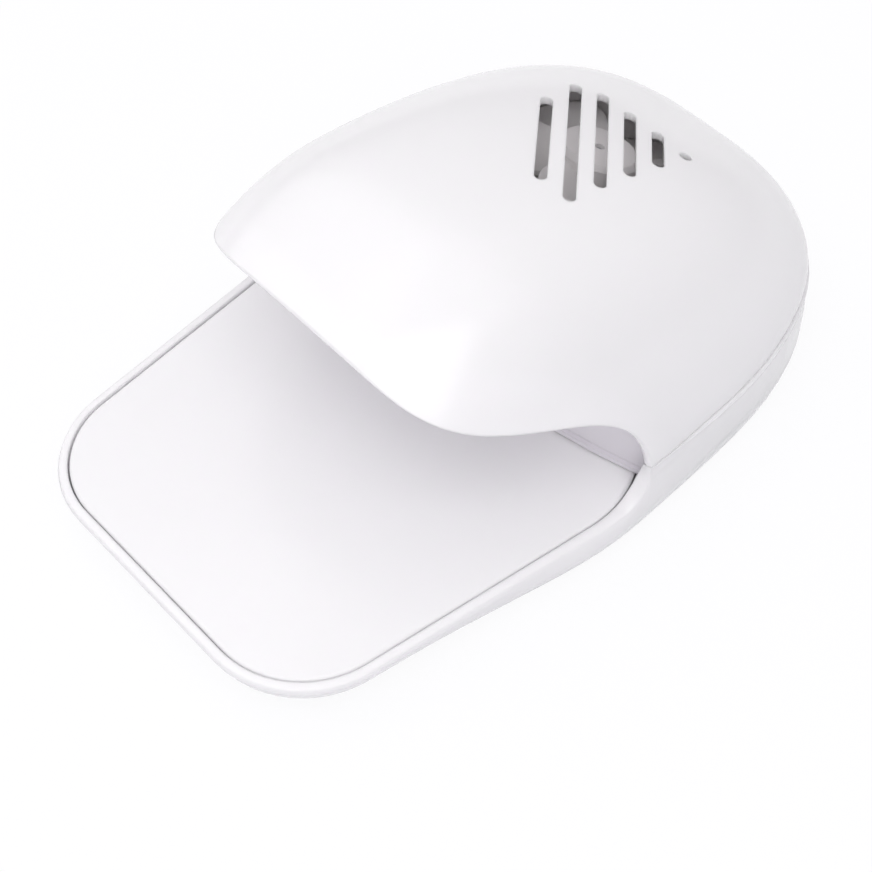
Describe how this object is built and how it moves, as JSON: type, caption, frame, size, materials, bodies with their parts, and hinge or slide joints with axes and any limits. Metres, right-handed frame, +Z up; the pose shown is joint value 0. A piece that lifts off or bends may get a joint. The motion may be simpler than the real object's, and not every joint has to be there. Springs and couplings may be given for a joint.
{
  "type": "nail polish fan dryer",
  "caption": "White battery nail polish fan dryer: a round-cornered finger tray with a press plate that starts a tilted fan under a domed, slotted hood.",
  "frame": {"origin": "on the table under the middle of the bounding box", "axes": "X across the object, -Y the finger side, +Y the hood's rear, +Z up"},
  "size_m": [0.1016, 0.1599, 0.0653],
  "materials": {
    "shell_white": "moulded glossy white",
    "plastic_white_matte": "moulded satin white",
    "plastic_black": "moulded matte black",
    "steel_plain": "plain zinc plated",
    "nickel_strip": "nickel plated spring strip",
    "brass_plain": "tinned brass",
    "cell_wrap": "shrink sleeve over steel",
    "rubber_grey": "moulded rubber",
    "wire_red": "soft insulation",
    "wire_white": "soft insulation",
    "wire_black": "soft insulation"
  },
  "bodies": {
    "housing": {"base_shell": "shell_white", "hood_shell": "shell_white", "air_guide": "shell_white", "pivot_pins": "steel_plain", "plate_springs": "steel_plain", "switch_body": "plastic_black", "switch_terminals": "brass_plain", "fan_frame": "plastic_white_matte", "motor_can": "steel_plain", "motor_end_cap": "plastic_black", "motor_terminals": "brass_plain", "battery_front": "cell_wrap", "battery_rear": "cell_wrap", "contact_bridge": "nickel_strip", "contact_positive": "nickel_strip", "contact_negative": "nickel_strip", "battery_springs": "nickel_strip", "case_screws": "steel_plain", "frame_screws": "steel_plain", "rubber_feet": "rubber_grey", "wire_supply": "wire_red", "wire_switched": "wire_white", "wire_return": "wire_black"},
    "finger_plate": {"finger_plate": "shell_white"},
    "switch_button": {"switch_button": "plastic_black"},
    "fan": {"fan_impeller": "plastic_white_matte", "motor_shaft": "steel_plain"},
    "battery_door": {"battery_door": "shell_white"}
  },
  "joints": [
    {"name": "plate_press", "type": "hinge", "parent": "housing", "child": "finger_plate", "pos_m": [0, 0.0194, 0.0072], "axis": [1, 0, 0], "range_deg": [0, 1], "stiffness_Nm_per_rad": 10, "springref_deg": -1.15, "deforming": ["plate_springs"]},
    {"name": "switch_press", "type": "slide", "parent": "housing", "child": "switch_button", "axis": [0, 0, -1], "range_m": [0, 0.0009]},
    {"name": "fan_spin", "type": "hinge", "parent": "housing", "child": "fan", "pos_m": [0, 0.0385, 0.0484], "axis": [0, 0.342, 0.9397], "continuous": true},
    {"name": "door_open", "type": "hinge", "parent": "housing", "child": "battery_door", "pos_m": [0, 0.0238, 0.0022], "axis": [-1, 0, 0], "range_deg": [0, 70]}
  ],
  "couplings": [
    {"joint": "switch_press", "follows": "plate_press", "m_per_rad": 0.05}
  ]
}
